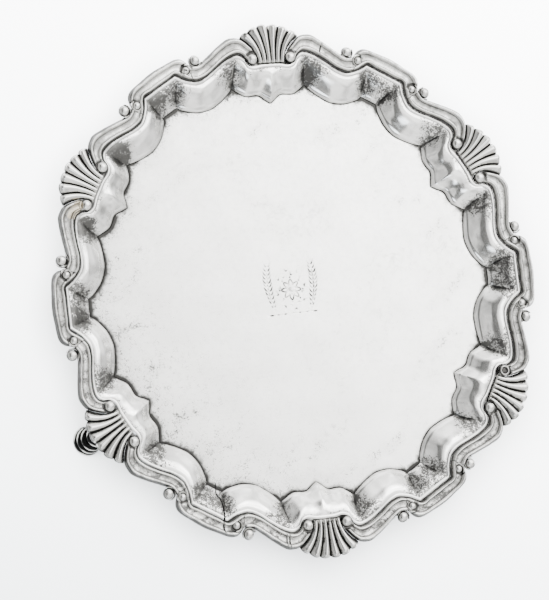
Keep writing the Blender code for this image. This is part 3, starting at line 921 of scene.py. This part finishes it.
def make_shell(hour):
    wear = np.random.default_rng(700 + hour).uniform(-0.12, 0.08, 8)
    v = 1 - (1 - np.arange(SHELL_ROWS + 1)[:, None] / SHELL_ROWS) ** 1.15
    step = np.arange(-3 * RIB_COLUMNS, 3 * RIB_COLUMNS + 1)
    rib, part = np.divmod(np.abs(step), RIB_COLUMNS)
    crown = np.sin(math.pi * part / RIB_COLUMNS)
    worn = wear[np.where(step >= 0, rib, 7 - rib) % 8]
    base_x, tip_x, tip_y = (np.interp(np.abs(step) / RIB_COLUMNS, range(len(knots)), knots)
                            for knots in (GROOVE_BASE_X, GROOVE_TIP_X, GROOVE_TIP_Y))
    tip_y += (RIB_TIP_REACH - 0.2 + 2.2 * worn) * crown ** 0.6
    x = base_x + (tip_x - base_x) * v ** FLARE_POWER
    y = SHELL_BASE_Y + (tip_y - SHELL_BASE_Y) * v
    groove = 0.45 - 0.1 * v
    height = groove + (1.5 + (1.0 + worn) * v ** 0.8 - groove) * crown ** 0.75
    # Lower at the base, and rounded over the tips of the ribs
    height *= np.minimum(1.0, 0.75 + v / 0.05)
    height *= 0.28 + 0.72 * np.sqrt(1 - unit((v - 0.88) / 0.12) ** 2)
    top = np.stack([np.copysign(x, step), y, BED + np.minimum(height, RIM - BED)], axis=2)
    # Each row runs over the top and back along the flat underside
    rows = np.concatenate([top, top[:, ::-1] * (1, 1, 0) + (0, 0, BED)], axis=1)
    width = rows.shape[1]
    faces = grid_faces(SHELL_ROWS + 1, width)
    for start in (0, SHELL_ROWS * width):
        faces += [(start + k, start + k + 1, start + width - 2 - k, start + width - 1 - k)
                  for k in range(len(step) - 1)]
    return Heap().add(rows.reshape(-1, 3), faces).make(f"shell_{hour}", CAST_SILVER, hour)


# ---- feet

FOOT_SEGMENTS = 56
# Rings of the pad: from and up to a height, radius, and distance outward from the mount
RINGS = ((0.0, 2.4, 6.7, 0.0), (2.4, 4.6, 6.2, -0.4), (4.6, 6.8, 5.5, -1.1), (6.8, 9.0, 4.6, -2.4))
LEG = ((9.0, 3.6, 3.8, -3.9), (10.5, 3.0, 3.3, -5.6), (12.5, 3.0, 3.3, -7.7), (16.0, 4.2, 4.8, -11.1),
       (20.0, 5.8, 7.0, -13.9), (26.0, 7.2, 8.8, -15.6))


def foot_sections():
    """Height, half depth, half width, distance from the axis and darkness of tarnish and painted shade, from
    the pad up.
    """
    sections = [(0.0, 5.6, 5.8, FOOT_REACH, 0.4)]
    for low, high, radius, out in RINGS:
        for k in range(9):
            t = k / 8
            bulge = math.sin(math.pi * t) ** 0.6
            if low == 0.0 and t < 0.3:
                bulge = max(bulge, 0.75)
            size = radius - 0.95 + 0.95 * bulge
            height = max(0.02, low + (high - low) * t)
            sections.append((height, size, size + 0.2, FOOT_REACH + out, 1.15 - bulge))
    knots = np.array(LEG)
    for z in np.linspace(LEG[0][0] + 0.2, LEG[-1][0], 26):
        depth, width, out = (np.interp(z, knots[:, 0], knots[:, k]) for k in (1, 2, 3))
        sections.append((z, depth, width, FOOT_REACH + out, 0.6))
    return sections


def make_foot(hour, under):
    sections = foot_sections()
    z, depth, width, reach, dirt_and_shade = np.array(sections).T[:, :, None]
    around = math.tau * np.arange(FOOT_SEGMENTS) / FOOT_SEGMENTS
    flute = 1 + 0.05 * np.cos(around * 7) * unit((z - 13) / 4)
    plan = width * flute * np.cos(around), reach + depth * flute * np.sin(around)
    points = turned(np.stack(np.broadcast_arrays(*plan, z), axis=2).reshape(-1, 3), hour)
    for i, (x, y, z) in enumerate(points):
        hit = under.ray_cast(Vector((x * MM, y * MM, MM)), Vector((0, 0, 1)))
        if hit[0] is not None:
            points[i, 2] = min(z, hit[0].z / MM - 0.03)
    # One side of each foot is painted darker, as painted shade
    dirt_and_shade = dirt_and_shade + 0.55 * unit(np.cos(2.5 * around + 1.2 + hour))
    heap = Heap().add(points, tube_faces(len(sections), FOOT_SEGMENTS), dirt_and_shade.ravel())
    return heap.make(f"foot_{hour}", FOOT_SILVER_IN_SHADE)


# ---- hollows and crests

# Marks of single pieces: kind, hour, the segment they lie along, reach and strength
SPOTS = {
    "fine_scroll_10_left": ("repair", 10, ((-11.5, 113.6), (-17.0, 114.8)), 2.6, 1.0),
    "fine_shell_12": ("hollow", 12, ((-9.6, 123.6), (-12.4, 121.9)), 1.0, 0.9),
    # The hole of the worn-through boss is painted dark, as painted shade
    "fine_scroll_4_left": ("hollow", 4, ((-9.8, 110.1), (-9.8, 110.3)), 1.15, 1.0),
}
PLATE_HOLLOW = 0.6
# The map of heights that hollows and crests are read from, in millimetres
MAP_STEP = 0.4
NEAR_BLUR = 0.7
WIDE_BLUR = 2.6


def ray_target(pieces):
    """A ray target of the pieces' own meshes."""
    points, faces = [], []
    for piece in pieces:
        start = len(points)
        points += [vertex.co.copy() for vertex in piece.data.vertices]
        faces += [tuple(v + start for v in polygon.vertices) for polygon in piece.data.polygons]
    return BVHTree.FromPolygons(points, faces)


def surface_height(target, x, y):
    """Height in millimetres of the topmost surface over a point."""
    hit = target.ray_cast(Vector((x * MM, y * MM, 0.05)), Vector((0, 0, -1)))
    return hit[0].z / MM if hit[0] is not None else np.nan


def blurred(values, known, reach):
    """The map blurred over a reach in millimetres, leaving out what is unknown."""
    size = len(values)
    wave = np.fft.fftfreq(size, MAP_STEP)
    soft = np.exp(-2 * (math.pi * reach) ** 2 * (wave[:, None] ** 2 + wave[None] ** 2))
    total, weight = (np.fft.ifft2(np.fft.fft2(part) * soft).real
                     for part in (np.where(known, values, 0), known.astype(float)))
    return total / np.maximum(weight, 1e-3)


def sample(values, x, y, low):
    """Bilinear reading of a map."""
    u, v = (x - low) / MAP_STEP, (y - low) / MAP_STEP
    i, j = (np.clip(at.astype(int), 0, len(values) - 2) for at in (u, v))
    fu, fv = u - i, v - j
    return ((values[j, i] * (1 - fu) + values[j, i + 1] * fu) * (1 - fv)
            + (values[j + 1, i] * (1 - fu) + values[j + 1, i + 1] * fu) * fv)


def height_maps(target):
    """The lower edge of a square map of the border's heights, and the map blurred a little and more."""
    low = -math.ceil(CAD_BOX[1][1] / MM + 2)
    at = np.arange(low, -low + MAP_STEP, MAP_STEP)
    heights = np.full((len(at), len(at)), WELL)
    for j, y in enumerate(at):
        for i, x in enumerate(at):
            reach = math.hypot(x, y)
            if reach > FLAT_REACH:
                heights[j, i] = surface_height(target, x, y) if reach < -low else np.nan
    known = ~np.isnan(heights)
    heights = np.where(known, heights, WELL)
    return low, blurred(heights, known, NEAR_BLUR), blurred(heights, known, WIDE_BLUR)


def vertex_values(piece, key):
    values = np.empty(len(piece.data.vertices) * 3)
    piece.data.vertices.foreach_get(key, values)
    return values.reshape(-1, 3)


def cast_wear_and_shade(piece, spots, hollow):
    """Painted shade down the foot of a casting's walls and on its outward faces towards the east, stains in
    its channel, and greyer towards six o'clock.
    """
    x, y, z = spots.T
    reach = np.hypot(x, y)
    # The lowest part of each wall, where it stands on the flange, is painted dark as painted shade
    wall = unit((BED + 1.0 - z) / 0.8)
    if piece.name.startswith("fine_shell"):
        off_base = unit((reach - SHELL_BASE_Y - 0.5) / 1.2)
        wall *= off_base
        hollow = hollow * (0.4 + 0.6 * off_base)
    south = unit(0.5 - y / 150.0)
    stain = bell(z - BED - 1.3, 0.3) * south ** 0.5 * unit(0.6 + 0.9 * ripple(spots, 9.0, 77))
    outward = (vertex_values(piece, "normal") * spots)[:, :2].sum(axis=1) / reach
    # Faces turned outward on the east side are painted dark as painted shade
    east = unit(0.35 + (x - 0.3 * y) / 120.0)
    facing_out = 0.75 * east * unit((outward - 0.35) / 0.35)
    hollow = np.maximum.reduce([hollow, 0.8 * wall, facing_out])
    return {"hollow": hollow, "stain": stain, "film_and_shade": 0.14 * south}


def mark_wear_and_shade(pieces, target):
    """Give every point its wear and painted shade: tarnish and painted shade in the hollows, shine on the
    crests, stains, repairs, and a grey film that partly paints shade.
    """
    low, near, wide = height_maps(target)
    for piece in pieces:
        spots = vertex_values(piece, "co") / MM
        x, y, z = spots.T
        marks = {kind: np.zeros(len(spots)) for kind in WEAR_AND_SHADE_KINDS}
        if not piece.name.startswith("fine_foot"):
            sunk_near, sunk_wide = sample(near, x, y, low) - z, sample(wide, x, y, low) - z
            # Points sunk below the blurred heights around them are painted dark for tarnish and painted
            # shade; raised points count as crests
            marks["hollow"] = unit(sunk_near / 0.4) * 0.8 + unit(sunk_wide / 1.5) * 0.4
            marks["crest"] = unit(-sunk_near / 0.35)
        if piece.name == "salver_plate":
            marks["hollow"] *= PLATE_HOLLOW
        if piece.name.startswith(("fine_scroll", "fine_arch", "fine_shell")):
            marks.update(cast_wear_and_shade(piece, spots, marks["hollow"]))
        if piece.name in SPOTS:
            key, hour, ends, reach, strength = SPOTS[piece.name]
            plan = turned(spots[:, :2], -hour)
            marks[key] = np.maximum(marks[key], strength * spot(plan[:, 0], plan[:, 1], *ends, reach))
        for key, values in EXTRA.get(piece.name, {}).items():
            marks[key] = np.maximum(marks[key], values)
        for key, values in marks.items():
            layer = piece.data.attributes.new(key, "FLOAT", "POINT")
            layer.data.foreach_set("value", unit(values).astype(np.float32))


# ---- stage

# The floor's paper is painted greyer in front and paler behind, a painted falloff of light
FLOOR_WAY = (0.498, 0.867, 0.0)
FLOOR_REACH = 0.2192
FLOOR_NEAR = (0.33, 0.35, 0.36)
FLOOR_FAR = (0.95, 0.955, 0.96)
FLOOR_SIZE = 8.0
FLOOR_DROP = 0.2 * MM


def make_stage():
    bpy.ops.mesh.primitive_plane_add(size=FLOOR_SIZE, location=(0, 0, -FLOOR_DROP))
    floor = bpy.context.object
    floor.name = "floor"
    material = bpy.data.materials.new("pale_floor")
    material.use_nodes = True
    nodes = Nodes(material.node_tree)
    along = nodes.toward(nodes.place("Object"), FLOOR_WAY)
    colour = nodes.mix(nodes.ramp(along, -FLOOR_REACH, FLOOR_REACH, way="LINEAR"), FLOOR_NEAR, FLOOR_FAR)
    nodes.fill(material.node_tree.nodes["Principled BSDF"],
               {"Base Color": colour, "Roughness": 0.9, "Specular IOR Level": 0.1})
    floor.data.materials.append(material)


# The white tent: its own even light, and the brighter parts of it by direction, edge and light
BASE_LIGHT = 1.0
TENT_LIGHTS = (
    ((0.507, 0.396, 0.766), (0.904, 0.972), 7.2),
    ((0.50, 0.82, 0.28), (0.5, 0.96), 2.4),
    ((0.0, 0.0, 1.0), (0.6, 1.0), 1.1),
    ((0.25, -0.80, 0.54), (0.3, 0.95), 0.8),
)
# The gap between two sides of the tent, a dark upright band that the slopes facing it show
GAP_WAY = (-0.384, -0.091, 0.919)
GAP_EDGE = (0.22, 0.30)
GAP_END = (0.5, 0.75)
GAP_SHADE = 0.87
CLOTH_SCALE = 2.6
CLOTH_SHADES = (0.7, 1.36)
STRIP_WAY = (-0.22, -0.55, 0.80)
STRIP_EDGE = (0.978, 0.994)
STRIP_LIGHT = 4.5
TENT_COLOUR = (1.0, 1.0, 0.99)
STRIP_COLOUR = (0.86, 0.93, 1.0)
LAMP_SIZE = 3.0
LAMP_ENERGY = 1080.0
LAMP_PLACE = (-0.95, 0.15, 2.5)


def make_light():
    """An even white tent with soft boxes and a bright strip, and a lamp that lights the floor."""
    world = bpy.data.worlds.new("studio")
    bpy.context.scene.world = world
    world.use_nodes = True
    nodes = Nodes(world.node_tree)
    place = nodes.place("Generated")
    level = nodes.plus(BASE_LIGHT, *(nodes.ramp(nodes.toward(place, way), *edge, 0.0, light)
                                     for way, edge, light in TENT_LIGHTS))
    across = nodes.maths("ABSOLUTE", nodes.toward(place, CAMERA_RIGHT), 0.0)
    gap = nodes.times(nodes.ramp(across, *GAP_EDGE, GAP_SHADE, 0.0),
                      nodes.ramp(nodes.toward(place, GAP_WAY), *GAP_END))
    # The cloth of the tent is lit unevenly
    cloth = nodes.ramp(nodes.noise(place, CLOTH_SCALE, 2.0), 0.35, 0.65, *CLOTH_SHADES)
    strip = nodes.ramp(nodes.toward(place, STRIP_WAY), *STRIP_EDGE)
    level = nodes.plus(nodes.times(level, nodes.maths("SUBTRACT", 1.0, gap), cloth),
                       nodes.times(strip, STRIP_LIGHT))
    nodes.fill(world.node_tree.nodes["Background"],
               {"Strength": level, "Color": nodes.mix(strip, TENT_COLOUR, STRIP_COLOUR)})

    lamp = bpy.data.lights.new("floor_lamp", "AREA")
    lamp.shape = "DISK"
    lamp.size = LAMP_SIZE
    lamp.energy = LAMP_ENERGY
    holder = bpy.data.objects.new("floor_lamp", lamp)
    holder.location = LAMP_PLACE
    holder.rotation_euler = Vector(LAMP_PLACE).to_track_quat("Z", "Y").to_euler()
    holder.visible_glossy = False
    bpy.context.scene.collection.objects.link(holder)


# The camera's right and up directions, its distance and its lens, fitted to the view of the photograph
CAMERA_RIGHT = (0.92021, -0.11881, 0.37297)
CAMERA_UP = (0.07519, 0.98873, 0.12945)
CAMERA_DISTANCE = 1.7777
CAMERA_LENS = 228.0
CAMERA_AIM_SHIFT = (-0.01152, -0.00497)
AIM_HEIGHT = 28.3 * MM


def make_camera():
    right, up = Vector(CAMERA_RIGHT).normalized(), Vector(CAMERA_UP)
    up = (up - right * up.dot(right)).normalized()
    back = right.cross(up)
    data = bpy.data.cameras.new("camera")
    data.lens = CAMERA_LENS
    data.sensor_width = 36.0
    data.clip_end = 20.0
    camera = bpy.data.objects.new("camera", data)
    bpy.context.scene.collection.objects.link(camera)
    turn = Matrix((right, up, back)).transposed()
    aim = Vector((0, 0, AIM_HEIGHT)) + right * CAMERA_AIM_SHIFT[0] + up * CAMERA_AIM_SHIFT[1]
    camera.matrix_world = Matrix.Translation(aim + back * CAMERA_DISTANCE) @ turn.to_4x4()
    bpy.context.scene.camera = camera


def main():
    plate = make_plate()
    pieces = [plate]
    under = BVHTree.FromObject(plate, bpy.context.evaluated_depsgraph_get())
    for hour in SHELL_HOURS:
        pieces += [make_shell(hour), make_scroll(hour, -1), make_scroll(hour, 1)]
    pieces += [make_arch(hour) for hour in ARCH_HOURS]
    pieces += [make_foot(hour, under) for hour in FOOT_HOURS]
    target = ray_target(pieces)
    pieces.append(make_crack(target))
    mark_wear_and_shade(pieces, target)
    make_stage()
    make_light()
    make_camera()


main()
